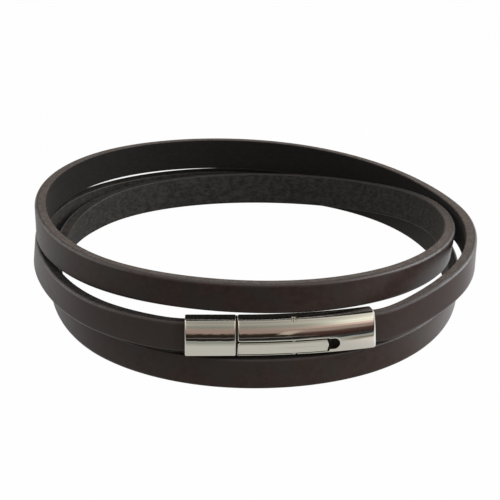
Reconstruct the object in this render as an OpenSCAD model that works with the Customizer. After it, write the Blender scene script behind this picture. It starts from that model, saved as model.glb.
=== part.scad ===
// Leather wrap bracelet: one flat strap wound three times into a ring,
// both ends held in a steel lever clasp at the front of the middle band.
// The ring stands on z = 0 round the origin, and the clasp faces -Y.

/* [Strap] */
// Height of the strap's flat face
strap_h = 5.4; // [5:0.1:5.4]
// Thickness of the leather
strap_t = 2; // [1.6:0.1:2]
// Rounding of the strap's long edges
strap_edge = 0.3; // [0.2:0.05:0.5]

/* [Clasp] */
// Height of the clasp
clasp_h = 6.8; // [6.8:0.1:7]
// Depth of the clasp from front to back
clasp_d = 3.8; // [3.8:0.1:4.2]
// Rounding of the clasp's long edges
clasp_edge = 1.1; // [0.8:0.1:1.3]
// Radius of the slight crown on the clasp's front
crown_r = 14; // [12:1:30]
// Length of the end cap
cap_len = 8.8; // [8.4:0.1:9.6]
// Length of the housing along its bend
housing_len = 23.4; // [23.2:0.1:24.4]
// Radius to which the housing is bent
bend_r = 85; // [80:5:120]
// Gap between the end cap and the housing
seam_gap = 0.25; // [0.2:0.05:0.3]
// Depth of the pockets for the strap's ends
pocket_depth = 5.6; // [5.2:0.1:5.6]

/* [Lever] */
// Length of the lever from the seam
lever_len = 15.2; // [14.8:0.1:15.4]
// Thickness of the lever's plate
lever_t = 1.2; // [1:0.1:1.3]
// Height of the lever's front
lever_h = 2.1; // [1.9:0.1:2.2]
// Distance of the pin from the seam
pin_at = 9.5; // [9:0.1:10]
// Diameter of the pin
pin_d = 0.7; // [0.6:0.1:0.8]

/* [Hidden] */
$fn = 64;

// Place of the clasp's middle line: the seam's x, its reach before the
// origin, its height above the surface, and the lean of its top,
// outwards positive
seam_x = -2.9;
clasp_reach = 36.4;
clasp_lift = 9.15;
clasp_lean = -8;

// How far the centre of the turns lies behind the origin
turns_back = 0.8;

// Columns of the three turn tables: angle round from the front by the left,
// reach of the strap's middle from the turns' centre, height of its lowest
// edge above the surface, and the lean of its top, outwards positive
ANGLE = 0;
REACH = 1;
LIFT = 2;
LEAN = 3;

// First turn: from the end cap down behind the ring to the bottom band
first_turn = [
    [45, 42.2, 6.8, 5],
    [75, 39.5, 5.7, -5],
    [105, 40, 3.8, -5],
    [135, 41, 1, 0],
    [165, 39, 0, 0],
    [195, 36.8, 0, 0],
    [225, 36.6, 0, 0],
    [255, 36, 0.4, 0],
    [285, 37.5, 0, 8],
    [315, 40.2, 0, 5],
    [345, 40.7, 0.15, -6]
];

// Second turn: the bottom band in front, the inner strand behind, then up
// on the right to the top band
second_turn = [
    [15, 40.7, 0.15, -6],
    [45, 39.6, 0, 0],
    [75, 37, 0, 5],
    [105, 36.5, 2.2, -15],
    [135, 37.6, 0.7, 10],
    [165, 35.2, 0, 18],
    [195, 33.3, 0.8, 18],
    [225, 32.4, 3.3, 15],
    [255, 33.8, 7.2, 10],
    [285, 37, 9.2, 10],
    [315, 37.9, 11.5, 0],
    [345, 38.2, 13, -5]
];

// Third turn: the top band in front, the outer strand behind, then down on
// the right into the housing
third_turn = [
    [15, 38.4, 13.8, 0],
    [45, 39.4, 12.9, -5],
    [75, 39, 11.3, -5],
    [105, 40, 9.6, 10],
    [135, 41.2, 7.4, 12],
    [165, 39.5, 5.7, 15],
    [195, 36.8, 5.6, 15],
    [225, 36.2, 5.4, 15],
    [255, 36.3, 6.8, 10],
    [280, 39, 9.9, 5],
    [302, 44, 10.3, 0]
];

// Length of the strap inside a pocket, and the spacing of the points that
// hold it to the clasp's middle line
strap_in = pocket_depth - 0.2;
lead = 5;
// How far the strap has turned in one lead outside the end cap
turn_in = 0.6;
// Rings of the sweep per row of the tables, and points on a rounded edge
steps = 5;
edge_steps = 2;

// Running gaps: round the strap in its pockets, round the tongue, above, below
// and at the end of the lever, and between the pin and the lever's bore
pocket_gap = 0.15;
tongue_gap = 0.15;
lever_gap_top = 0.18;
lever_gap_bottom = 0.1;
lever_gap_end = 0.15;
pin_gap = 0.04;

// Heights are measured from the clasp's middle line, depths from its front
rail_h = 0.45;
slot_low = -clasp_h / 2 + rail_h;
lever_low = slot_low + lever_gap_bottom;
lever_high = lever_low + lever_h;
slot_high = lever_high + lever_gap_top;
slot_depth = 2.3;
// The recess past the lever's end: its length, its round right end, how far
// its middle lies above the slot's middle, and its depth. The channel that
// leads to the round end is a little taller and deeper.
recess_len = 1.8;
recess_r = 0.9;
recess_mid = (slot_high + slot_low) / 2 + 0.12;
recess_depth = 2.1;
channel_extra = 0.06;
// Rise of the point on the lever's right end
lever_point = 0.3;

tongue_len = 6.2;
tongue_h = 4.4;
tongue_t = 1.5;
tongue_depth = 1.55;
notch_from = 1;
notch_to = 2.5;
notch_depth = 0.55;
nib_gap = 0.2;
nib_depth = 0.75;

pin_depth = 0.65;
// The pin's ends stop short of the clasp's rounded top and bottom
pin_short = 0.38;
overlap = 0.5;

// Uniform cubic B-spline through a list of rows, steps points per row
function blend(rows, i, u) =
    (pow(1 - u, 3) * rows[i]
    + (3 * pow(u, 3) - 6 * u * u + 4) * rows[i + 1]
    + (-3 * pow(u, 3) + 3 * u * u + 3 * u + 1) * rows[i + 2]
    + pow(u, 3) * rows[i + 3]) / 6;
function smooth(rows) = concat(
    [for (i = [0 : len(rows) - 4]) for (k = [0 : steps - 1]) blend(rows, i, k / steps)],
    [blend(rows, len(rows) - 4, 1)]
);

// A point on the housing's bent middle line, s from the seam
function on_bend_line(s) = [
    seam_x + bend_r * sin(s / bend_r * 180 / PI),
    -clasp_reach + bend_r * (1 - cos(s / bend_r * 180 / PI))
];

// Rows of the strap's path as [x, y, lift, lean]
function placed(turn) = [
    for (row = turn)
        [-row[REACH] * sin(row[ANGLE]), turns_back - row[REACH] * cos(row[ANGLE]), row[LIFT], row[LEAN]]
];
end_lift = clasp_lift - strap_h / 2 * cos(clasp_lean) - strap_t / 2 * abs(sin(clasp_lean));
cap_rows = [
    for (i = [-1 : 2])
        let (x = seam_x - (cap_len - strap_in) - i * lead, y = -clasp_reach + (i == 2 ? turn_in : 0))
            [x, y, end_lift, clasp_lean]
];
housing_rows = [
    for (i = [2 : -1 : -1])
        let (p = on_bend_line(housing_len - strap_in + i * lead)) [p[0], p[1], end_lift, clasp_lean]
];
route = smooth(concat(cap_rows, placed(first_turn), placed(second_turn), placed(third_turn), housing_rows));

// Outline of the strap's section as [outward, up], anticlockwise
strap_section = [
    for (corner = [[1, 1, 0], [-1, 1, 90], [-1, -1, 180], [1, -1, 270]])
        for (k = [0 : edge_steps])
            let (a = corner[2] + 90 * k / edge_steps)
                [
                    corner[0] * (strap_t / 2 - strap_edge) + strap_edge * cos(a),
                    corner[1] * (strap_h / 2 - strap_edge) + strap_edge * sin(a)
                ]
];

// Outward direction at a ring: square to the path's heading, kept level
function outward(i) =
    let (
        a = route[max(i - 1, 0)],
        b = route[min(i + 1, len(route) - 1)],
        d = [b[0] - a[0], b[1] - a[1]]
    )
    [-d[1], d[0]] / norm(d);

// One ring: the section leaned by its angle, its lowest edge at its lift
function ring(i) =
    let (
        p = route[i],
        n = outward(i),
        lean = p[LEAN],
        middle = p[LIFT] + strap_h / 2 * cos(lean) + strap_t / 2 * abs(sin(lean))
    )
    [
        for (q = strap_section)
            let (out = q[0] * cos(lean) + q[1] * sin(lean), up = q[1] * cos(lean) - q[0] * sin(lean))
                [p[0] + n[0] * out, p[1] + n[1] * out, middle + up]
    ];

// Closed skin over a list of rings of equal size
module skin(rings) {
    n = len(rings[0]);
    last = (len(rings) - 1) * n;
    points = [for (r = rings) for (p = r) p];
    sides = [
        for (i = [0 : len(rings) - 2])
            for (j = [0 : n - 1])
                let (a = i * n + j, b = i * n + (j + 1) % n)
                    each [[a, b, b + n], [a, b + n, a + n]]
    ];
    first_end = [for (j = [n - 1 : -1 : 0]) j];
    last_end = [for (j = [0 : n - 1]) last + j];
    polyhedron(points, concat(sides, [first_end, last_end]));
}

// The clasp's own frame: the seam on the middle line, y to the back
module at_clasp() {
    translate([seam_x, -clasp_reach, clasp_lift])
        children();
}

// A frame on the housing's bend, s from the seam, leaned as the clasp is
module on_bend(s) {
    translate([0, bend_r, 0])
        rotate([0, 0, s / bend_r * 180 / PI])
            translate([0, -bend_r, 0])
                rotate([clasp_lean, 0, 0])
                    children();
}

// A section, [back, up] from the middle line, leaned and carried straight along x
module straight(from, to) {
    translate([from, 0, 0])
        rotate([90, 0, 90])
            linear_extrude(to - from)
                rotate(clasp_lean)
                    children();
}

// The same section carried along the housing's bend
module bent(from, to) {
    translate([0, bend_r, 0])
        rotate([0, 0, from / bend_r * 180 / PI - 90])
            rotate_extrude(angle = (to - from) / bend_r * 180 / PI, $fn = 720)
                translate([bend_r, 0])
                    mirror([1, 0])
                        rotate(clasp_lean)
                            children();
}

// A section's rectangle between two depths from the front and two heights
module window(depth_from, depth_to, low, high) {
    translate([-clasp_d / 2 + depth_from, low])
        square([depth_to - depth_from, high - low]);
}

// The clasp's outer section: rounded edges and a slightly crowned front
module clasp_section() {
    flat_d = clasp_d - 2 * clasp_edge;
    flat_h = clasp_h - 2 * clasp_edge;
    intersection() {
        union() {
            square([clasp_d, flat_h], center = true);
            square([flat_d, clasp_h], center = true);
            for (x = [-1, 1])
                for (y = [-1, 1])
                    translate([x * flat_d / 2, y * flat_h / 2])
                        circle(clasp_edge);
        }
        translate([crown_r - clasp_d / 2, 0])
            circle(crown_r, $fn = 180);
    }
}

// The pocket's section for a strap end
module pocket_section() {
    square([strap_t + 2 * pocket_gap, strap_h + 2 * pocket_gap], center = true);
}

// A box in the clasp's frame between two x, two depths and two heights
module block(x_from, x_to, depth_from, depth_to, low, high) {
    straight(x_from, x_to)
        window(depth_from, depth_to, low, high);
}

module strap() {
    color("#4a4040")
        skin([for (i = [0 : len(route) - 1]) ring(i)]);
}

// Left half of the clasp: strap pocket on the left, tongue on the right
module end_cap() {
    color("gainsboro")
        at_clasp()
            difference() {
                union() {
                    straight(-cap_len, -seam_gap / 2)
                        clasp_section();
                    block(-overlap, tongue_len, tongue_depth, tongue_depth + tongue_t,
                        -tongue_h / 2, tongue_h / 2);
                }
                straight(-cap_len - overlap, -cap_len + pocket_depth)
                    pocket_section();
                block(notch_from, notch_to, tongue_depth - overlap, tongue_depth + notch_depth,
                    -tongue_h / 2 - overlap, slot_high + nib_gap);
            }
}

// Right half of the clasp: tongue pocket, lever slot and recess, strap pocket
module housing() {
    color("gainsboro")
        at_clasp()
            difference() {
                bent(seam_gap / 2, housing_len)
                    clasp_section();
                block(-overlap, tongue_len + 2 * tongue_gap, tongue_depth - tongue_gap,
                    tongue_depth + tongue_t + tongue_gap,
                    -tongue_h / 2 - tongue_gap, tongue_h / 2 + tongue_gap);
                bent(-overlap, lever_len + lever_gap_end)
                    window(-overlap, slot_depth, slot_low, slot_high);
                bent(lever_len - overlap, lever_len + recess_len - recess_r)
                    window(-overlap, recess_depth + channel_extra, recess_mid - recess_r - channel_extra,
                        recess_mid + recess_r + channel_extra);
                on_bend(lever_len + recess_len - recess_r)
                    translate([0, recess_depth - clasp_d / 2, recess_mid])
                        rotate([90, 0, 0])
                            cylinder(h = recess_depth + overlap, r = recess_r);
                bent(housing_len - pocket_depth, housing_len + overlap)
                    pocket_section();
                pin_line()
                    cylinder(h = clasp_h + 2 * overlap, d = pin_d, center = true);
            }
}

// The pin's upright line in the clasp's frame
module pin_line() {
    on_bend(pin_at)
        translate([0, pin_depth - clasp_d / 2, 0])
            children();
}

// Rocking lever, flush with the housing's front, with a nib behind its left end
module lever() {
    color("white")
        at_clasp()
            difference() {
                union() {
                    intersection() {
                        bent(seam_gap / 2, lever_len)
                            intersection() {
                                clasp_section();
                                window(-overlap, lever_t, lever_low, lever_high);
                            }
                        lever_outline();
                    }
                    block(notch_from + nib_gap, notch_to - nib_gap, lever_t - overlap, lever_t + nib_depth,
                        lever_low, lever_high);
                }
                pin_line()
                    cylinder(h = clasp_h, r = pin_d / 2 + pin_gap, center = true);
            }
}

// What the lever's right end is cut to: a shallow point, seen from the front
module lever_outline() {
    slant = lever_point * 2 * (1 + 2 * overlap / lever_h);
    on_bend(lever_len)
        translate([0, clasp_d, 0])
            rotate([90, 0, 0])
                linear_extrude(2 * clasp_d)
                    polygon([
                        [-lever_len - overlap, lever_low - overlap],
                        [-slant, lever_low - overlap],
                        [0, lever_low + lever_h / 2],
                        [-slant, lever_high + overlap],
                        [-lever_len - overlap, lever_high + overlap]
                    ]);
}

module pivot_pin() {
    color("silver")
        at_clasp()
            pin_line()
                cylinder(h = clasp_h - 2 * pin_short, d = pin_d, center = true);
}

strap();
end_cap();
housing();
lever();
pivot_pin();
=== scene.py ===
"""Looks of the leather wrap bracelet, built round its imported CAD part."""
import math

import bmesh
import bpy
import numpy as np
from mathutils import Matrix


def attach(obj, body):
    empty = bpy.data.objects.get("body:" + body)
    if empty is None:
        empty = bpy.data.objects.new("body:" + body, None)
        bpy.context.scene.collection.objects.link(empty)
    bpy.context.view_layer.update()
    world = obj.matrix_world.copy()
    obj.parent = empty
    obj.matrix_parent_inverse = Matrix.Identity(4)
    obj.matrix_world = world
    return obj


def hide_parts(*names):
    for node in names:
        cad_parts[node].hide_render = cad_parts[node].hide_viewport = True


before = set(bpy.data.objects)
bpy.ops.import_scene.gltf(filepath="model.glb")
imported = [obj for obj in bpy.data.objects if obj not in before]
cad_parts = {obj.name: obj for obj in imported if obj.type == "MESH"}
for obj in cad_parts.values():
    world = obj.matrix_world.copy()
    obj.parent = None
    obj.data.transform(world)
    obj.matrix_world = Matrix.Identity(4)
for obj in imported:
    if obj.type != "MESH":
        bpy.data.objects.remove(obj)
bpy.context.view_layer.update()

# Camera: a long lens 0.65 m away that looks down 26.5 degrees on the ring,
# aimed a little before its centre, 8 mm above the surface.
camera_tilt = math.radians(26.5)
camera_distance = 0.6516
aim = np.array([-0.0006, -0.0020, 0.008])
camera_data = bpy.data.cameras.new("camera")
camera_data.sensor_width = 36
camera_data.lens = 264.6
camera_data.shift_x = -0.001
camera_data.shift_y = 0.001
camera = bpy.data.objects.new("camera", camera_data)
towards_camera = np.array([0, -math.cos(camera_tilt), math.sin(camera_tilt)])
camera.location = aim + camera_distance * towards_camera
camera.rotation_euler = (math.pi / 2 - camera_tilt, 0, 0)
bpy.context.scene.collection.objects.link(camera)
bpy.context.scene.camera = camera

# Strap: one flat strip of dark brown leather, 5.4 mm tall and 2 mm thick, cut
# from a side, dyed, and burnished along its cut edges. It winds three times
# round the wrist, and both of its ends are glued into the clasp.
MM = 0.001
strap_h = 5.4 * MM
strap_t = 2 * MM
grain_round = 0.55 * MM
flesh_round = 0.2 * MM
seam_x = -2.9 * MM
clasp_reach = 36.4 * MM
turns_back = 0.8 * MM
clasp_lift = 9.15 * MM
clasp_lean = math.radians(-8)
cap_len = 8.8 * MM
housing_len = 23.4 * MM
bend_r = 85 * MM
pocket_depth = 5.6 * MM
strap_in = 5.4 * MM
lead = 5 * MM
turn_in = 0.6 * MM
route_parts = 24
# Turn angle round from the front by the left, reach, lift of the lowest edge
# and lean of the top, in degrees and millimetres
turns = np.array([
    [45, 42.2, 6.8, 5], [75, 39.5, 5.7, -5], [105, 40, 3.8, -5], [135, 41, 1, 0],
    [165, 39, 0, 0], [195, 36.8, 0, 0], [225, 36.6, 0, 0], [255, 36, 0.4, 0],
    [285, 37.5, 0, 8], [315, 40.2, 0, 5], [345, 40.7, 0.15, -6],
    [15, 40.7, 0.15, -6], [45, 39.6, 0, 0], [75, 37, 0, 5], [105, 36.5, 2.2, -15],
    [135, 37.6, 0.7, 10], [165, 35.2, 0, 18], [195, 33.3, 0.8, 18], [225, 32.4, 3.3, 15],
    [255, 33.8, 7.2, 10], [285, 37, 9.2, 10], [315, 37.9, 11.5, 0], [345, 38.2, 13, -5],
    [15, 38.4, 13.8, 0], [45, 39.4, 12.9, -5], [75, 39, 11.3, -5], [105, 40, 9.6, 10],
    [135, 41.2, 7.4, 12], [165, 39.5, 5.7, 15], [195, 36.8, 5.6, 15], [225, 36.2, 5.4, 15],
    [255, 36.3, 6.8, 10], [280, 39, 9.9, 5], [302, 44, 10.3, 0],
], float)


def bend_line(s):
    """A point on the housing's middle line, s from the seam: an arc that leaves the seam along x."""
    turn = s / bend_r
    return seam_x + bend_r * np.sin(turn), bend_r * (1 - np.cos(turn)) - clasp_reach


def spline(rows, steps):
    """Uniform cubic B-spline: each point is the mean of four rows, weighted by the four cubic
    blending curves of u, its share of the way from the second row to the third."""
    u = np.arange(steps)[:, None] / steps
    curves = [(1 - u) ** 3, 3 * u ** 3 - 6 * u ** 2 + 4, 3 * (u + u ** 2 - u ** 3) + 1, u ** 3]
    weights = np.hstack(curves) / 6
    fours = np.stack([rows[i:len(rows) - 3 + i] for i in range(4)], axis=1)
    inner = np.einsum("kw,swc->skc", weights, fours).reshape(-1, rows.shape[1])
    return np.vstack([inner, (rows[-3] + 4 * rows[-2] + rows[-1]) / 6])


def box_outline(width, height, radii, arc_parts, side_parts):
    """Outline of a box with round corners, anticlockwise from its right side: a quarter circle of
    its own radius at each corner, with the four sides between them cut into equal parts."""
    arcs = []
    for i, (sx, sy) in enumerate([(1, 1), (-1, 1), (-1, -1), (1, -1)]):
        a = math.pi / 2 * (i + np.arange(arc_parts + 1) / arc_parts)
        centre = np.array([sx * (width / 2 - radii[i]), sy * (height / 2 - radii[i])])
        arcs.append(centre + radii[i] * np.column_stack([np.cos(a), np.sin(a)]))
    points = []
    for i, arc in enumerate(arcs):
        share = np.arange(1, side_parts[i])[:, None] / side_parts[i]
        points += [arc, arc[-1] + share * (arcs[(i + 1) % 4][0] - arc[-1])]
    return np.vstack(points)


def grid_faces(rows, columns, first=0, wrap=True):
    """Four-cornered faces of a grid of points: each point, the next in its row, and the same two
    in the row after. With wrap, a row's last point joins its first."""
    r, c = np.meshgrid(np.arange(rows - 1), np.arange(columns if wrap else columns - 1), indexing="ij")
    a = first + r * columns + c
    b = first + r * columns + (c + 1) % columns
    return np.stack([a, b, b + columns, a + columns], axis=-1).reshape(-1, 4).tolist()


def new_piece(name, points, faces, material, body):
    """A smooth piece from points and faces that stands for the CAD node of its name."""
    mesh = bpy.data.meshes.new(name + "_piece")
    mesh.from_pydata(points.reshape(-1, 3).tolist(), [], faces)
    mesh.polygons.foreach_set("use_smooth", np.ones(len(mesh.polygons), bool))
    mesh.materials.append(material)
    piece = bpy.data.objects.new(name + "_piece", mesh)
    bpy.context.scene.collection.objects.link(piece)
    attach(piece, body)
    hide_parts(name)
    return piece


class Wire:
    """A socket in a material's node tree. Sums, differences and products of wires and numbers
    add their Math nodes."""

    def __init__(self, tree, socket=None):
        self.tree = tree
        self.socket = socket

    def node(self, kind, inputs=(), output=0, stops=None, **settings):
        """Adds a node of a kind: its settings first, a ramp's stops, then its sockets' values or wires."""
        made = self.tree.nodes.new(kind)
        for setting, value in settings.items():
            setattr(made, setting, value)
        if stops:
            while len(made.color_ramp.elements) < len(stops):
                made.color_ramp.elements.new(1)
            for element, (place, colour) in zip(made.color_ramp.elements, stops):
                element.position = place
                element.color = (*colour, 1)
        for key, value in dict(inputs).items():
            if isinstance(value, Wire):
                self.tree.links.new(value.socket, made.inputs[key])
            else:
                made.inputs[key].default_value = value
        return Wire(self.tree, made.outputs[output])

    def math(self, operation, first, second):
        return self.node("ShaderNodeMath", {0: first, 1: second}, operation=operation)

    def __add__(self, other):
        return self.math("ADD", self, other)

    def __sub__(self, other):
        return self.math("SUBTRACT", self, other)

    def __rsub__(self, other):
        return self.math("SUBTRACT", other, self)

    def __mul__(self, other):
        return self.math("MULTIPLY", self, other)

    __radd__ = __add__
    __rmul__ = __mul__

    def step(self, low, high):
        """0 below low and 1 above high, with a smooth rise between."""
        return self.node("ShaderNodeMapRange", {0: self, 1: low, 2: high}, interpolation_type="SMOOTHSTEP")

    def blend(self, first, second):
        """The first colour where this is 0 and the second where it is 1."""
        colours = {6: first, 7: second}
        for key, value in colours.items():
            colours[key] = value if isinstance(value, Wire) else (*value, 1)
        return self.node("ShaderNodeMix", {0: self, **colours}, output=2, data_type="RGBA")


def new_material(name):
    """An empty material as (material, wire to add nodes with, its output node)."""
    material = bpy.data.materials.new(name)
    material.use_nodes = True
    material.node_tree.nodes.clear()
    output = material.node_tree.nodes.new("ShaderNodeOutputMaterial")
    return material, Wire(material.node_tree), output


def finish_surface(wire, output, shader):
    """Joins a shader to the material's output."""
    wire.tree.links.new(shader.socket, output.inputs["Surface"])


def leather_material():
    """Grain on the outer face, a raw cut edge with a burnished line, and fibrous flesh inside.
    All three follow the strap through its own attributes, in millimetres: along counts from the
    end in the end cap, and outward and up from the strap's middle line."""
    material, wire, output = new_material("strap_leather")
    along, outward, up = (
        wire.node("ShaderNodeAttribute", attribute_name=name, output=2) for name in ("along", "outward", "up")
    )
    place = wire.node("ShaderNodeCombineXYZ", {0: along, 1: up, 2: outward})
    cloudy = wire.node("ShaderNodeTexNoise", {"Vector": place, "Scale": 0.16, "Detail": 3})
    mottled = wire.node("ShaderNodeTexNoise", {"Vector": place, "Scale": 0.8, "Detail": 5, "Roughness": 0.65})
    fine = wire.node("ShaderNodeTexNoise", {"Vector": place, "Scale": 4, "Detail": 4, "Roughness": 0.65})
    pebbles = wire.node("ShaderNodeTexVoronoi", {"Vector": place, "Scale": 2.6}, feature="SMOOTH_F1")
    stretched = wire.node("ShaderNodeCombineXYZ", {0: along * 0.5, 1: up, 2: outward})
    fibres = wire.node("ShaderNodeTexNoise", {
        "Vector": stretched, "Scale": 2.2, "Detail": 5, "Roughness": 0.7,
    })

    # Grain, paler beside the clasp
    brown = mottled.step(0.3, 0.7).blend((0.0165, 0.0092, 0.0076), (0.0265, 0.0150, 0.0122))
    grain_colour = cloudy.step(0.46, 0.66).blend(brown, (0.0190, 0.0154, 0.0132))
    near_clasp = 1 - along.step(20, 60) + along.step(615, 645)
    grain_colour = (near_clasp * 0.5).blend(grain_colour, (0.0370, 0.0275, 0.0255))
    grain_colour = (fine.step(0.35, 0.65) * 0.3).blend(grain_colour, (0.0300, 0.0225, 0.0200))

    # Flesh, darker along the last turn with painted shade, and paler low on the right with painted light
    # where the band above shades it
    blotches = mottled * 0.45 + fibres * 0.55
    flesh = blotches.step(0.38, 0.62).blend((0.0072, 0.0060, 0.0050), (0.0225, 0.0207, 0.0187))
    shaded_flesh = blotches.step(0.38, 0.62).blend((0.0014, 0.0010, 0.0008), (0.0050, 0.0039, 0.0034))
    shaded_last_turn = along.step(470, 530) * (1 - along.step(600, 660))
    low_right = along.step(125, 150) * (1 - along.step(200, 215))
    flesh = low_right.blend(flesh, (0.0270, 0.0250, 0.0225))
    flesh_colour = shaded_last_turn.blend(flesh, shaded_flesh)

    # Cut edge: raw from the end of the second turn on and darker before it,
    # with a burnished line along both of its corners
    raw = fine.step(0.3, 0.7).blend((0.025, 0.0200, 0.0175), (0.068, 0.0565, 0.0505))
    raw = mottled.step(0.42, 0.62).blend(raw, (0.036, 0.0270, 0.0225))
    darker_raw = mottled.step(0.4, 0.6).blend((0.0050, 0.0040, 0.0034), (0.0125, 0.0092, 0.0076))
    # Painted shade: the cut edge is darker low on the right, under the band above
    darker_raw = low_right.blend(darker_raw, (0.0030, 0.0026, 0.0023))
    raw_colour = along.step(370, 410).blend(darker_raw, raw)
    burnished = (outward.step(0.30, 0.55) + (1 - outward.step(-0.98, -0.80))) * 0.7
    edge_colour = burnished.blend(raw_colour, (0.0120, 0.0090, 0.0082))

    # Where each of them lies in the section, and a painted highlight on the outer corners at the ring's left
    # and right, where the side lights fall
    on_edge = (up * up).step(2.50 ** 2, 2.62 ** 2)
    on_grain = outward.step(0.70, 0.92)
    on_flesh = (1 - outward.step(-0.95, -0.88)) * (1 - on_edge)
    rest_x = wire.node("ShaderNodeSeparateXYZ", {0: wire.node("ShaderNodeTexCoord", output="Object")})
    lit_sides = (rest_x * rest_x).step(0.012 ** 2, 0.036 ** 2)
    corner_sheen = outward.step(0.36, 0.66) * (up * up).step(2.05 ** 2, 2.5 ** 2) * lit_sides
    colour = on_flesh.blend(on_edge.blend(grain_colour, edge_colour), flesh_colour)
    colour = on_grain.blend(colour, grain_colour)
    # Painted highlight: pale, bluish outer corners at the ring's sides
    corner_sheen_colour = mottled.step(0.35, 0.65).blend((0.0300, 0.0265, 0.0275), (0.0620, 0.0580, 0.0620))
    colour = (corner_sheen * 0.8).blend(colour, corner_sheen_colour)

    roughness = 0.38 + (mottled - 0.5) * 0.18
    roughness = roughness + (1 - on_grain) * (1 - burnished * on_edge) * 0.35 + on_flesh * 0.2
    relief = pebbles * 0.35 * on_grain + fine * 0.25 + fibres * 1.2 * on_flesh
    bump = wire.node("ShaderNodeBump", {"Height": relief, "Strength": 0.35, "Distance": 0.03 * MM})
    shader = wire.node("ShaderNodeBsdfPrincipled", {
        "Base Color": colour, "Roughness": roughness, "Normal": bump,
        "IOR": 1.45, "Specular IOR Level": 0.2, "Specular Tint": (0.95, 0.98, 1, 1),
        # The coat adds gloss to the corners that carry the painted highlight
        "Coat Weight": corner_sheen * 0.3, "Coat Roughness": 0.45, "Coat IOR": 1.5,
    })
    finish_surface(wire, output, shader)
    return material


def strap_route():
    """The strap's rows as x, y, lift and lean: polar rows turned into x and y, and four rows on
    the clasp's middle line at each end."""
    angle = np.radians(turns[:, 0])
    reach = turns[:, 1] * MM
    wound = np.column_stack([
        -reach * np.sin(angle),
        turns_back - reach * np.cos(angle),
        turns[:, 2] * MM,
        np.radians(turns[:, 3]),
    ])
    end_lift = clasp_lift - strap_h / 2 * math.cos(clasp_lean) - strap_t / 2 * abs(math.sin(clasp_lean))
    steps = np.arange(-1, 3)
    cap_rows = np.column_stack([
        seam_x - (cap_len - strap_in) - steps * lead,
        -clasp_reach + np.where(steps == 2, turn_in, 0),
        np.full(4, end_lift),
        np.full(4, clasp_lean),
    ])
    x, y = bend_line(housing_len - strap_in + steps[::-1] * lead)
    housing_rows = np.column_stack([x, y, np.full(4, end_lift), np.full(4, clasp_lean)])
    return spline(np.vstack([cap_rows, wound, housing_rows]), route_parts)


def strap_rings(route, section):
    """The section set square to the route: outward is level and to the left of the heading, the
    lean turns it about the middle, and its lowest edge sits at the route's lift."""
    heading = np.gradient(route[:, :2], axis=0)
    heading /= np.linalg.norm(heading, axis=1)[:, None]
    lean = route[:, 3:4]
    middle = route[:, 2:3] + strap_h / 2 * np.cos(lean) + strap_t / 2 * np.abs(np.sin(lean))
    out = section[:, 0] * np.cos(lean) + section[:, 1] * np.sin(lean)
    rise = section[:, 1] * np.cos(lean) - section[:, 0] * np.sin(lean)
    return np.stack([
        route[:, 0:1] - heading[:, 1:2] * out,
        route[:, 1:2] + heading[:, 0:1] * out,
        middle + rise,
    ], axis=-1)


route = strap_route()
strap_radii = (grain_round, flesh_round, flesh_round, grain_round)
strap_corner_parts = 6
strap_side_parts = (8, 10, 8, 14)
strap_section = box_outline(strap_t, strap_h, strap_radii, strap_corner_parts, strap_side_parts)
rings = strap_rings(route, strap_section)
ring_count, ring_size = rings.shape[:2]
strap_faces = grid_faces(ring_count, ring_size)
strap_faces.append(list(range(ring_size))[::-1])
strap_faces.append(list(range((ring_count - 1) * ring_size, ring_count * ring_size)))
strap = new_piece("strap", rings, strap_faces, leather_material(), "bracelet")
stretch = np.linalg.norm(np.diff(route[:, :2], axis=0), axis=1)
travelled = np.concatenate([[0], np.cumsum(stretch)])
strap_values = {
    "along": np.repeat(travelled, ring_size),
    "outward": np.tile(strap_section[:, 0], ring_count),
    "up": np.tile(strap_section[:, 1], ring_count),
}
for name, values in strap_values.items():
    attribute = strap.data.attributes.new(name, "FLOAT", "POINT")
    attribute.data.foreach_set("value", (values / MM).astype(np.float32))

# End cap: the clasp's left half, a block of stainless steel turned and milled
# to a rounded section with a slightly crowned front, then mirror-polished. It
# is glued over one strap end, and its tongue goes into the housing.
clasp_h = 6.8 * MM
clasp_d = 3.8 * MM
clasp_edge = 1.1 * MM
crown_r = 14 * MM
face_blend = 0.3 * MM
seam_gap = 0.25 * MM
pocket_gap = 0.15 * MM
pocket_lip = 0.1 * MM
pocket_flare = 1.03
end_bevel = 0.28 * MM
bevel_parts = 6
collar_drop = 0.14 * MM
collar_end = seam_gap * 0.4
tongue_len = 6.2 * MM
tongue_h = 4.4 * MM
tongue_t = 1.5 * MM
tongue_depth = 1.55 * MM
merge_gap = 0.0005 * MM
sharp_angle = math.radians(35)


def steel_material():
    """Polished steel: a bright metal with faint polishing waves and a few dull spots."""
    material, wire, output = new_material("polished_steel")
    place = wire.node("ShaderNodeTexCoord", output="Object")
    waves = wire.node("ShaderNodeTexNoise", {"Vector": place, "Scale": 260, "Detail": 2})
    haze = wire.node("ShaderNodeTexNoise", {"Vector": place, "Scale": 1500, "Detail": 4, "Roughness": 0.6})
    roughness = 0.03 + haze.step(0.35, 0.8) * 0.04
    bump = wire.node("ShaderNodeBump", {"Height": waves, "Strength": 0.5, "Distance": 0.004 * MM})
    shader = wire.node("ShaderNodeBsdfPrincipled", {
        "Base Color": (0.62, 0.61, 0.585, 1), "Metallic": 1, "Roughness": roughness, "Normal": bump,
    })
    finish_surface(wire, output, shader)
    return material


def milled_shaded_material():
    """The inside of slots and pockets: dull steel as the cutter left it, painted far darker than steel for
    the shade inside them.
    """
    material, wire, output = new_material("milled_steel_shaded")
    place = wire.node("ShaderNodeTexCoord", output="Object")
    grit = wire.node("ShaderNodeTexNoise", {"Vector": place, "Scale": 2500, "Detail": 3})
    colour = grit.step(0.3, 0.7).blend((0.030, 0.027, 0.024), (0.060, 0.055, 0.050))
    shader = wire.node("ShaderNodeBsdfPrincipled", {"Base Color": colour, "Metallic": 1, "Roughness": 0.6})
    finish_surface(wire, output, shader)
    return material


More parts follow.
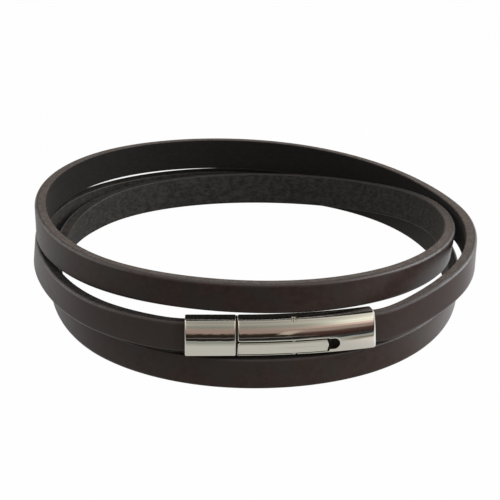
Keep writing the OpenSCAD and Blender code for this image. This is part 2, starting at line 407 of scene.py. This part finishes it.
def clasp_arcs():
    """The clasp's section as arcs (centre, radius, first angle, last angle), angles measured
    from straight forward and rising: the crown, a small blend, two upper corners, and the same
    below. The blend's centre is where the crown and the corner, both shrunk by its radius, cross."""
    crown = np.array([crown_r - clasp_d / 2, 0])
    flat_d = clasp_d / 2 - clasp_edge
    flat_h = clasp_h / 2 - clasp_edge
    corner = np.array([-flat_d, flat_h])
    a, b = crown_r - face_blend, clasp_edge - face_blend
    apart = corner - crown
    distance = np.linalg.norm(apart)
    foot = (a * a - b * b + distance * distance) / (2 * distance)
    side = math.sqrt(a * a - foot * foot)
    along = apart / distance
    blend = crown + foot * along + side * np.array([along[1], -along[0]])
    first = math.atan2((blend - crown)[1], -(blend - crown)[0])
    second = math.atan2((blend - corner)[1], -(blend - corner)[0])
    half, whole = math.pi / 2, math.pi
    upper = [
        (blend, face_blend, first, second),
        (corner, clasp_edge, second, half),
        (np.array([flat_d, flat_h]), clasp_edge, half, whole),
    ]
    lower = [(centre * [1, -1], radius, -last, -start) for centre, radius, start, last in upper[::-1]]
    return lower, (crown, crown_r, -first, first), upper


def clasp_outline(parts):
    """Points and outward normals along the section, from the back's middle under the bottom, up
    the front and over the top to the back's middle again; parts counts the steps per arc."""
    lower, crown, upper = clasp_arcs()
    points, normals = [], []
    for (centre, radius, start, last), count in zip([*lower, crown, *upper], parts):
        a = np.linspace(start, last, count + 1)
        normal = np.column_stack([-np.cos(a), np.sin(a)])
        points.append(centre + radius * normal)
        normals.append(normal)
    points, normals = np.vstack(points), np.vstack(normals)
    middle = np.array([[clasp_d / 2, 0]])
    back = np.array([[1.0, 0]])
    points = np.vstack([middle, points, middle])
    normals = np.vstack([back, normals, back])
    return points, normals


def clasp_point(s, back, up, bent=True):
    """From the clasp's own measures to the frame: the section leans by the clasp's lean, and s
    runs from the seam, straight to the left of it and along the housing's arc to the right."""
    y = back * math.cos(clasp_lean) - up * math.sin(clasp_lean)
    z = back * math.sin(clasp_lean) + up * math.cos(clasp_lean)
    turn = np.where(bent, np.maximum(s, 0) / bend_r, 0)
    straight = np.where(bent, np.minimum(s, 0), s)
    x = seam_x + straight + (bend_r - y) * np.sin(turn)
    y = bend_r - (bend_r - y) * np.cos(turn) - clasp_reach
    return np.stack(np.broadcast_arrays(x, y, clasp_lift + z), axis=-1)


def box_ring(directions, width, height, shift=0.0):
    """A box's outline where rays from its middle in the given directions leave it."""
    unit = directions / np.linalg.norm(directions, axis=1)[:, None]
    reach = 1 / np.maximum(np.abs(unit[:, 0]) / (width / 2), np.abs(unit[:, 1]) / (height / 2))
    return unit * reach[:, None] + [shift, 0]


def quarter(radius, count):
    """Steps of a quarter circle as (run, drop): no run and the whole drop first."""
    a = np.linspace(math.pi / 2, 0, count + 1)
    return np.column_stack([radius * (1 - np.sin(a)), radius * (1 - np.cos(a))])


def close_up(piece):
    """Merges the points that patches share, fills the open rings, and turns every face outwards."""
    work = bmesh.new()
    work.from_mesh(piece.data)
    bmesh.ops.remove_doubles(work, verts=work.verts, dist=merge_gap)
    bmesh.ops.holes_fill(work, edges=[e for e in work.edges if e.is_boundary], sides=0)
    bmesh.ops.recalc_face_normals(work, faces=work.faces)
    for face in work.faces:
        face.smooth = True
    for edge in work.edges:
        edge.smooth = not edge.is_manifold or edge.calc_face_angle() < sharp_angle
    work.to_mesh(piece.data)
    work.free()


def mill(piece, row_spans, columns):
    """Gives the grid rows from one number to the next, and the faces past the grid, milled steel that is
    painted dark for shade.
    """
    piece.data.materials.append(milled)
    which = np.zeros(len(piece.data.polygons), np.int32)
    for first_row, last_row in row_spans:
        which[first_row * columns:last_row * columns] = 1
    piece.data.polygons.foreach_set("material_index", which)


def cut_away(piece, points, faces):
    """Cuts a closed form of points and faces out of a piece."""
    mesh = bpy.data.meshes.new("cutter")
    mesh.from_pydata(points.reshape(-1, 3).tolist(), [], faces)
    cutter = bpy.data.objects.new("cutter", mesh)
    bpy.context.scene.collection.objects.link(cutter)
    modifier = piece.modifiers.new("cut", "BOOLEAN")
    modifier.operation = "DIFFERENCE"
    modifier.solver = "EXACT"
    modifier.object = cutter
    graph = bpy.context.evaluated_depsgraph_get()
    result = bpy.data.meshes.new_from_object(piece.evaluated_get(graph))
    piece.modifiers.clear()
    piece.data = result
    bpy.data.objects.remove(cutter)


front = -clasp_d / 2
around_parts = (24, 16, 8, 48, 8, 16, 24)
outline, outline_normals = clasp_outline(around_parts)
outline, outline_normals = outline[:-1], outline_normals[:-1]
steel = steel_material()
milled = milled_shaded_material()


def cap_rings():
    """Rings from the pocket's bottom out over the left end, along the outside, round the seam's
    edge and out to the tongue's end: each is a section at one s."""
    pocket = box_ring(outline, strap_t + 2 * pocket_gap, strap_h + 2 * pocket_gap)
    tongue = box_ring(outline, tongue_t, tongue_h, front + tongue_depth + tongue_t / 2)
    rows = [
        (-cap_len + pocket_depth, pocket),
        (-cap_len + pocket_lip, pocket),
        (-cap_len, pocket * pocket_flare),
    ]
    for run, drop in quarter(end_bevel, bevel_parts):
        rows.append((-cap_len + run, outline - drop * outline_normals))
    for run, drop in quarter(end_bevel, bevel_parts)[::-1]:
        rows.append((-seam_gap / 2 - run, outline - drop * outline_normals))
    collar = outline - collar_drop * outline_normals
    rows += [(-seam_gap / 2, collar), (collar_end, collar), (collar_end, tongue), (tongue_len, tongue)]
    return np.stack([clasp_point(s, ring[:, 0], ring[:, 1], bent=False) for s, ring in rows])


rings = cap_rings()
end_cap = new_piece("end_cap", rings, grid_faces(*rings.shape[:2]), steel, "bracelet")
mill(end_cap, [(0, 2), (len(rings) - 5, len(rings) - 1)], rings.shape[1])
close_up(end_cap)

# Housing: the clasp's right half, milled from the same steel and bent a little
# to the wrist. Its front is slotted for the lever and ends in a half-moon
# recess for a fingernail; the strap's other end is glued into its right end.
rail_h = 0.45 * MM
lever_h = 2.1 * MM
lever_len = 15.2 * MM
low_gap = 0.1 * MM
high_gap = 0.18 * MM
end_gap = 0.15 * MM
slot_depth = 2.3 * MM
slot_low = -clasp_h / 2 + rail_h
lever_low = slot_low + low_gap
lever_high = lever_low + lever_h
slot_high = lever_high + high_gap
slot_mid = (slot_low + slot_high) / 2
slot_back = front + slot_depth
slot_end = lever_len + end_gap
recess_r = 0.95 * MM
recess_rise = 0.12 * MM
recess_past = 1.95 * MM
recess_mid = slot_mid + recess_rise
recess_from = lever_len + recess_past - recess_r
lip = 0.1 * MM
mouth_round = 0.4 * MM
end_ring = 0.7 * MM
right_bevel = 0.5 * MM
right_bevel_parts = 8
pin_at = 9.5 * MM
pin_depth = 0.65 * MM
pin_sunk = 0.38 * MM
pin_back = front + pin_depth
pin_r = 0.35 * MM
pin_end = clasp_h / 2 - pin_sunk


def section_at(t):
    """The section's point and normal at arc length t from the front's middle, upwards positive."""
    points, normals = clasp_outline([8 * count for count in around_parts])
    length = np.concatenate([[0], np.cumsum(np.linalg.norm(np.diff(points, axis=0), axis=1))])
    length -= np.interp(0, [-1, 1], [0, length[-1]])
    return (
        np.stack([np.interp(t, length, points[:, i]) for i in (0, 1)], axis=-1),
        np.stack([np.interp(t, length, normals[:, i]) for i in (0, 1)], axis=-1),
    )


def outline_lengths():
    """Arc length from the front's middle of every point of the clasp's outline."""
    points = np.vstack([outline, outline[:1]])
    length = np.concatenate([[0], np.cumsum(np.linalg.norm(np.diff(points, axis=0), axis=1))])
    return length - length[-1] / 2


def crown_length(up):
    """Arc length along the crown to a height."""
    return crown_r * np.arcsin(np.clip(up / crown_r, -1, 1))


def housing_patches():
    """The skin round the slot and the skin behind it, as two grids of points.

    Round the slot each column starts on the slot's middle line, crosses its floor, climbs its
    wall, rounds its lip and runs in a straight line of (s, arc length) to the edge of the front.
    The lip is a quarter circle. Near the seam all columns drop by a quarter circle as well."""
    lengths = outline_lengths()
    # An arc has one point more than its steps, and the outline starts at the back's middle
    crown_first = sum(around_parts[:3]) + 4
    crown_last = crown_first + around_parts[3]
    under = around_parts[0] + 2
    edge_t = lengths[under:crown_last + 1]
    low_t, high_t = edge_t[0], edge_t[-1]
    start = seam_gap / 2
    stop = housing_len - end_ring
    slot_points = 60
    entry = quarter(end_bevel, bevel_parts)
    slot_s = np.linspace(start + end_bevel, slot_end, slot_points)[1:]
    straight_s = np.concatenate([start + entry[:, 0], slot_s])
    straight_drop = np.concatenate([entry[:, 1], np.zeros(len(slot_s))])
    past_s = np.linspace(slot_end, stop, 36)[1:]
    # Fan of columns round the recess: a step in from the slot, along its flat top, round its
    # right end and back; outside, along the top edge, down the end ring and back
    flat_s = np.linspace(slot_end, recess_from, 7)[1:]
    turn_top = np.linspace(90, 50, len(past_s) - len(flat_s) - 1)[1:]
    turn_ring = np.interp(edge_t[::-1], [low_t, high_t], [-50, 50])[1:]
    turn_bottom = np.linspace(-50, -90, len(past_s) - len(flat_s))[1:]
    turn = np.radians(np.concatenate([turn_top, turn_ring, turn_bottom]))
    step_in = [[slot_end, slot_high - recess_mid, 1, 1], [slot_end, recess_r, 1, 1]]
    flat_way = np.tile([[0.0, 1.0]], (len(flat_s), 1))
    flat = np.column_stack([flat_s, np.full(len(flat_s), recess_r), flat_way])
    upper = np.vstack([step_in, flat])
    lower = upper[::-1] * [1, -1, 1, -1]
    lower[-1, 1] = slot_low - recess_mid
    bow_way = np.column_stack([np.cos(turn), np.sin(turn)])
    bow = np.column_stack([[recess_from, 0] + recess_r * bow_way, bow_way])
    fan = np.vstack([upper, bow, lower[1:]])
    fan_s = np.concatenate([past_s, np.full(len(edge_t) - 1, stop), np.append(past_s[::-1][1:], slot_end)])
    fan_t = np.concatenate([np.full(len(past_s), high_t), edge_t[::-1][1:], np.full(len(past_s), low_t)])
    count = len(straight_s)
    wall_s = np.concatenate([straight_s, fan[:, 0], straight_s[::-1][1:]])
    into = np.maximum(mouth_round - (straight_s - start), 0)
    opening = mouth_round - np.sqrt(mouth_round ** 2 - into ** 2)
    wall_z = np.concatenate([slot_high + opening, recess_mid + fan[:, 1], np.full(count - 1, slot_low)])
    way = np.concatenate([
        np.tile([[0.0, 1.0]], (count, 1)),
        fan[:, 2:],
        np.tile([[0.0, -1.0]], (count - 1, 1)),
    ])
    drop = np.concatenate([straight_drop, np.zeros(len(fan)), straight_drop[::-1][1:]])
    outer_s = np.concatenate([straight_s, fan_s, straight_s[::-1][1:]])
    outer_t = np.concatenate([np.full(count, high_t), fan_t, np.full(count - 1, low_t)])
    spine_s = np.minimum(wall_s, recess_from)

    def surface(s, t, depth):
        point, normal = section_at(t)
        point = point - drop[:, None] * normal
        return clasp_point(s, point[:, 0] + depth, point[:, 1])

    rows = []
    for share in (0, 0.5, 1):
        s = spine_s + (wall_s - spine_s) * share
        up = slot_mid + (wall_z - slot_mid) * share
        rows.append(clasp_point(s, slot_back, up))
    for a in np.linspace(0, math.pi / 2, 6):
        out = lip * (1 - math.cos(a)) + drop
        s = wall_s + way[:, 0] * out
        up = wall_z + way[:, 1] * out
        rows.append(surface(s, crown_length(up), lip * (1 - math.sin(a))))
    for share in np.linspace(0, 1, 25)[1:]:
        t = crown_length(up)
        rows.append(surface(s + (outer_s - s) * share, t + (outer_t - t) * share, 0))
    front_skin = np.stack(rows)

    behind_t = np.concatenate([lengths[crown_last:-1], lengths[:under + 1] + 2 * lengths[-1]])
    behind_t = np.where(behind_t > lengths[-1], behind_t - 2 * lengths[-1], behind_t)
    point, normal = section_at(behind_t)
    behind_s = np.concatenate([straight_s, past_s])
    behind_drop = np.concatenate([straight_drop, np.zeros(len(past_s))])
    behind = []
    for s, drop_here in zip(behind_s, behind_drop):
        ring = point - drop_here * normal
        behind.append(clasp_point(s, ring[:, 0], ring[:, 1]))
    return front_skin, np.stack(behind), stop


def housing_end(stop):
    """Rings from the last full ring over the bevelled right end and into the strap's pocket."""
    pocket = box_ring(outline, strap_t + 2 * pocket_gap, strap_h + 2 * pocket_gap)
    rows = [(stop, outline)]
    for run, drop in quarter(right_bevel, right_bevel_parts)[::-1]:
        rows.append((housing_len - run, outline - drop * outline_normals))
    rows += [
        (housing_len, pocket * pocket_flare),
        (housing_len - pocket_lip, pocket),
        (housing_len - pocket_depth, pocket),
    ]
    return np.stack([clasp_point(s, ring[:, 0], ring[:, 1]) for s, ring in rows])


front_skin, behind_skin, ring_from = housing_patches()
end_skin = housing_end(ring_from)
parts = [front_skin, behind_skin, end_skin]
faces, first = [], 0
for part, wrap in zip(parts, (False, False, True)):
    faces += grid_faces(*part.shape[:2], first, wrap)
    first += part.shape[0] * part.shape[1]
points = np.vstack([part.reshape(-1, 3) for part in parts])
housing = new_piece("housing", points, faces, steel, "bracelet")
mill(housing, [(0, 2)], front_skin.shape[1] - 1)
close_up(housing)

# Lever: a polished plate flush with the housing's front, which rocks on the
# pin: pressing its right end into the recess lifts its nib out of the tongue.
# A faint crease runs along the middle of its right half.
lever_t = 1.2 * MM
lever_point = 0.14 * MM
lever_bevel = 0.2 * MM
low_bevel_cut = 0.75
lever_round = 0.2 * MM
tip_gap = 0.03 * MM
spine_in_left = 0.8 * MM
spine_in_right = 1.1 * MM
crease = 0.01 * MM
crease_grows = 3 * MM
crease_from = 1.7


def lever_outline():
    """The plate's outline and the point of its middle line that belongs to each point: long top
    and bottom edges, a shallow point on the right, and rounded corners on the left."""
    start, tip = seam_gap / 2, slot_end - tip_gap
    low, high, mid = lever_low, lever_high, (lever_low + lever_high) / 2
    back = 2 * lever_point
    edge_points = 60
    top_s = np.linspace(start + mouth_round, tip - back, edge_points)
    corner = np.radians(np.linspace(180, 90, 9)[:-1])
    left_top = np.column_stack([
        start + mouth_round * (1 + np.cos(corner)),
        high - mouth_round * (1 - np.sin(corner)),
    ])
    corner = np.radians(np.linspace(270, 180, 7)[:-1])
    left_low = np.column_stack([
        start + lever_round * (1 + np.cos(corner)),
        low + lever_round * (1 + np.sin(corner)),
    ])
    share = np.linspace(0, 1, 9)[1:, None]
    right_top = [tip - back, high] + share * [back, mid - high]
    right_low = [tip, mid] + share[:-1] * [-back, low - mid]
    low_s = np.linspace(tip - back, start + lever_round, edge_points)
    side_up = np.linspace(low + lever_round, high - mouth_round, 6)[1:-1]
    points = np.vstack([
        left_top, np.column_stack([top_s, np.full(edge_points, high)]), right_top, right_low,
        np.column_stack([low_s, np.full(edge_points, low)])[:-1], left_low,
        np.column_stack([np.full(len(side_up), start), side_up]),
    ])
    spine_s = np.clip(points[:, 0], start + spine_in_left, lever_len - spine_in_right)
    return points, np.column_stack([spine_s, np.full(len(points), mid)])


def lever_rings():
    """Rings from the face's middle line out to its bevel, round it, down the wall and back over
    the rear face to the middle line: the front follows the crown, the rear is a depth behind it.
    Along the lower edge the bevel is narrower, by its share low_bevel_cut."""
    points, spine = lever_outline()
    inward = spine - points
    inward /= np.linalg.norm(inward, axis=1)[:, None]
    loop = np.vstack([points[-1:], points, points[:1]])
    tangent = loop[2:] - loop[:-2]
    normal = np.column_stack([-tangent[:, 1], tangent[:, 0]])
    normal /= np.linalg.norm(normal, axis=1)[:, None]
    normal *= np.where((normal * inward).sum(1) > 0, 1, -1)[:, None]
    bevel = lever_bevel * (1 - low_bevel_cut * np.clip(normal[:, 1:], 0, 1))
    rim = points + normal * bevel
    rows = []

    def row(place, depth):
        section, _ = section_at(crown_length(place[:, 1]))
        rows.append(clasp_point(place[:, 0], section[:, 0] + depth, section[:, 1]))

    # The crease starts crease_from times the length that it grows over, to the right of the seam
    row(spine, crease * np.clip(spine[:, 0] / crease_grows - crease_from, 0, 1))
    for share in np.linspace(0, 1, 12)[1:]:
        row(spine + (rim - spine) * share, 0)
    for a in np.linspace(math.pi / 2, 0, 7)[1:]:
        row(points + normal * bevel * (1 - math.cos(a)), bevel[:, 0] * (1 - math.sin(a)))
    row(points, lever_t)
    row(spine, lever_t)
    return np.stack(rows)


rings = lever_rings()
lever = new_piece("lever", rings, grid_faces(*rings.shape[:2]), steel, "lever")
close_up(lever)

# Pivot pin: a short steel rod pressed through the housing from top to bottom,
# on which the lever rocks. Its ends are upset into rounded heads that sit a
# little deep, so a dark ring shows round the upper one in the top edge.
pin_sides = 32
head_r = 0.44 * MM
head_len = 0.3 * MM
head_round = 0.2 * MM
neck_len = 0.01 * MM
bore_r = 0.52 * MM
bore_deep = 0.16 * MM
bore_past = 1 * MM


def rod(heights, radii):
    """Rings of points about the pin's middle line: a radius at each height."""
    a = np.linspace(0, 2 * math.pi, pin_sides + 1)[:-1]
    height, radius = np.array(heights)[:, None], np.array(radii)[:, None]
    return clasp_point(pin_at + radius * np.cos(a), pin_back + radius * np.sin(a), height + 0 * a)


dome = quarter(head_round, bevel_parts)
low_end = np.append(-pin_end + dome[:, 0], [-pin_end + head_len, -pin_end + head_len + neck_len])
low_r = np.append(head_r - dome[:, 1], [head_r, pin_r])
rings = rod(np.concatenate([low_end, -low_end[::-1]]), np.concatenate([low_r, low_r[::-1]]))
pivot_pin = new_piece("pivot_pin", rings, grid_faces(*rings.shape[:2]), steel, "bracelet")
close_up(pivot_pin)
for side in (-1, 1):
    heights = side * np.array([pin_end - bore_deep, clasp_h / 2 + bore_past])
    rings = rod(np.sort(heights), [bore_r, bore_r])
    ends = [list(range(pin_sides))[::-1], list(range(pin_sides, 2 * pin_sides))]
    cut_away(housing, rings, grid_faces(*rings.shape[:2]) + ends)
close_up(housing)

# Studio: a white surface, a wide soft light overhead and one on each side, in
# a pale room with a dark ceiling and back wall, which only reflections see.
# Dark cards and pale patches painted on the surface in front, seen only by
# reflections, are a painted reflection: the streak and bright ends in the clasp.
surface_half = 3
surface_z = -0.02 * MM


def stage_sheet(name, half, z, material):
    """A square level sheet that belongs to the studio and reaches half to each side of the middle."""
    mesh = bpy.data.meshes.new(name)
    corners = [(-half, -half, z), (half, -half, z), (half, half, z), (-half, half, z)]
    mesh.from_pydata(corners, [], [(0, 1, 2, 3)])
    mesh.materials.append(material)
    sheet = bpy.data.objects.new(name, mesh)
    bpy.context.scene.collection.objects.link(sheet)


def surface_material():
    """White to the camera and to soft light. A reflection sees painted dark cards on it and greyer
    paper close in front, other cards to the right, a pale fold at the cards' far edge and a pale
    patch at each side: a painted reflection for the clasp's streak and its bright ends. share is
    the slope of the line of sight, the clasp's height over the distance in front of it, so equal
    steps of it are equal steps across the clasp's face."""
    material, wire, output = new_material("white_surface")
    place = wire.node("ShaderNodeTexCoord", output="Object")
    x, y = (wire.node("ShaderNodeSeparateXYZ", {0: place}, output=i) for i in (0, 1))
    across = wire.node("ShaderNodeCombineXYZ", {0: x * 140, 1: y * 12})
    wander = wire.node("ShaderNodeTexNoise", {"Vector": across, "Scale": 1, "Detail": 4})
    ahead = wire.math("MAXIMUM", -1 * y - (clasp_reach + clasp_d / 2), 0.005)
    share = wire.math("DIVIDE", clasp_lift, ahead) + (wander - 0.5) * 0.075
    painted_reflection = share.node("ShaderNodeValToRGB", {0: share}, stops=[
        (0.030, (0.460, 0.330, 0.280)),
        (0.060, (0.440, 0.330, 0.280)),
        (0.075, (0.160, 0.110, 0.080)),
        (0.090, (0.045, 0.034, 0.022)),
        (0.160, (0.020, 0.016, 0.012)),
        (0.176, (0.200, 0.180, 0.160)),
        (0.188, (0.200, 0.180, 0.160)),
        (0.200, (0.018, 0.016, 0.014)),
        (0.268, (0.030, 0.028, 0.025)),
        (0.284, (0.600, 0.610, 0.540)),
        (0.310, (0.340, 0.350, 0.300)),
        (0.400, (0.560, 0.560, 0.500)),
        (0.480, (0.735, 0.715, 0.650)),
    ])
    painted_right_reflection = share.node("ShaderNodeValToRGB", {0: share}, stops=[
        (0.060, (0.440, 0.330, 0.280)),
        (0.095, (0.170, 0.120, 0.095)),
        (0.110, (0.100, 0.055, 0.045)),
        (0.170, (0.080, 0.041, 0.033)),
        (0.210, (0.045, 0.025, 0.020)),
        (0.280, (0.060, 0.057, 0.058)),
        (0.345, (0.040, 0.043, 0.043)),
        (0.360, (0.480, 0.480, 0.450)),
        (0.430, (0.470, 0.460, 0.410)),
        (0.455, (0.300, 0.275, 0.215)),
        (0.540, (0.330, 0.295, 0.225)),
        (0.575, (0.640, 0.590, 0.480)),
        (0.640, (0.920, 0.870, 0.810)),
    ])
    painted_reflection = x.step(0.020, 0.030).blend(painted_reflection, painted_right_reflection)
    sideways = wire.math("DIVIDE", x, ahead)
    fold = sideways.step(0.19, 0.23) * (1 - sideways.step(0.27, 0.33))
    fold = fold * share.step(0.02, 0.05) * (1 - share.step(0.10, 0.13))
    painted_reflection = fold.blend(painted_reflection, (0.660, 0.550, 0.440))
    # Painted reflection: a pale patch at each side, which the clasp's ends show as bright rims
    to_right = x.step(0.026, 0.036) * y.step(-0.054, -0.046)
    to_left = (1 - x.step(-0.022, -0.015)) * y.step(-0.056, -0.049)
    sides = to_left.blend(to_right.blend(painted_reflection, (1.3, 1.3, 1.3)), (0.8, 0.8, 0.8))
    reflected = wire.node("ShaderNodeEmission", {"Color": sides})
    soft = wire.node("ShaderNodeEmission", {"Color": (0.66, 0.66, 0.65, 1)})
    seen = wire.node("ShaderNodeEmission", {"Color": (0.99, 0.99, 0.99, 1)})
    glossy_ray = wire.node("ShaderNodeLightPath", output="Is Glossy Ray")
    camera_ray = wire.node("ShaderNodeLightPath", output="Is Camera Ray")
    shader = wire.node("ShaderNodeMixShader", {0: glossy_ray, 1: soft, 2: reflected})
    shader = wire.node("ShaderNodeMixShader", {0: camera_ray, 1: shader, 2: seen})
    finish_surface(wire, output, shader)
    return material


stage_sheet("surface", surface_half, surface_z, surface_material())


def soft_light(name, place, width, height, power):
    """An area light that faces the bracelet and lights its leather only."""
    data = bpy.data.lights.new(name, "AREA")
    data.shape = "RECTANGLE"
    data.size, data.size_y = width, height
    data.energy = power
    light = bpy.data.objects.new(name, data)
    light.location = place
    towards = np.array([0, 0, 0.01]) - place
    light.rotation_euler = (math.acos(towards[2] / np.linalg.norm(towards)) - math.pi, 0,
                            math.atan2(towards[1], towards[0]) + math.pi / 2)
    light.visible_camera = False
    light.light_linking.receiver_collection = leather_pieces
    bpy.context.scene.collection.objects.link(light)


leather_pieces = bpy.data.collections.new("leather_pieces")
leather_pieces.objects.link(strap)
soft_light("overhead", np.array([0.0, 0.05, 0.7]), 0.6, 0.6, 5)
soft_light("right", np.array([0.65, 0.0, 0.35]), 0.9, 0.4, 11)
soft_light("left", np.array([-0.65, 0.05, 0.3]), 0.8, 0.4, 1.6)

world = bpy.data.worlds.new("room")
bpy.context.scene.world = world
world.use_nodes = True
world.node_tree.nodes.clear()
air = Wire(world.node_tree)
direction = air.node("ShaderNodeTexCoord", output="Generated")
x, y, z = (air.node("ShaderNodeSeparateXYZ", {0: direction}, output=i) for i in range(3))
soft_colour = z.node("ShaderNodeValToRGB", {0: z}, stops=[
    (0.0, (0.22, 0.20, 0.19)), (0.16, (0.60, 0.60, 0.58)), (0.5, (0.35, 0.35, 0.35)), (1.0, (0.7, 0.7, 0.7)),
])
in_front = z.node("ShaderNodeValToRGB", {0: z}, stops=[
    (0.0, (0.460, 0.330, 0.280)),
    (0.04, (0.420, 0.350, 0.290)),
    (0.09, (0.330, 0.330, 0.275)),
    (0.16, (0.520, 0.505, 0.430)),
    (0.195, (0.400, 0.370, 0.320)),
    (0.25, (0.560, 0.530, 0.460)),
    (0.35, (0.430, 0.415, 0.350)),
    (0.60, (0.530, 0.510, 0.430)),
    (0.84, (0.480, 0.460, 0.390)),
    (0.92, (0.120, 0.112, 0.095)),
    (0.98, (0.055, 0.051, 0.043)),
    (1.0, (0.045, 0.042, 0.036)),
])
side = x * x
back_wall = y.step(-0.02, 0.02) * (1 - side.step(0.08, 0.30))
reflected_colour = back_wall.blend(in_front, (0.016, 0.015, 0.013))
window = z.step(0.03, 0.06) * (1 - z.step(0.11, 0.15)) * side.step(0.06, 0.2)
reflected_strength = air.math("MINIMUM", 1 + side * 5, 2.5) + window * 1.5
soft = air.node("ShaderNodeBackground", {"Color": soft_colour, "Strength": 1})
reflected = air.node("ShaderNodeBackground", {"Color": reflected_colour, "Strength": reflected_strength})
glossy_ray = air.node("ShaderNodeLightPath", output="Is Glossy Ray")
room = air.node("ShaderNodeMixShader", {0: glossy_ray, 1: soft, 2: reflected})
air.tree.links.new(room.socket, air.tree.nodes.new("ShaderNodeOutputWorld").inputs["Surface"])
bpy.context.scene.view_settings.view_transform = "Standard"
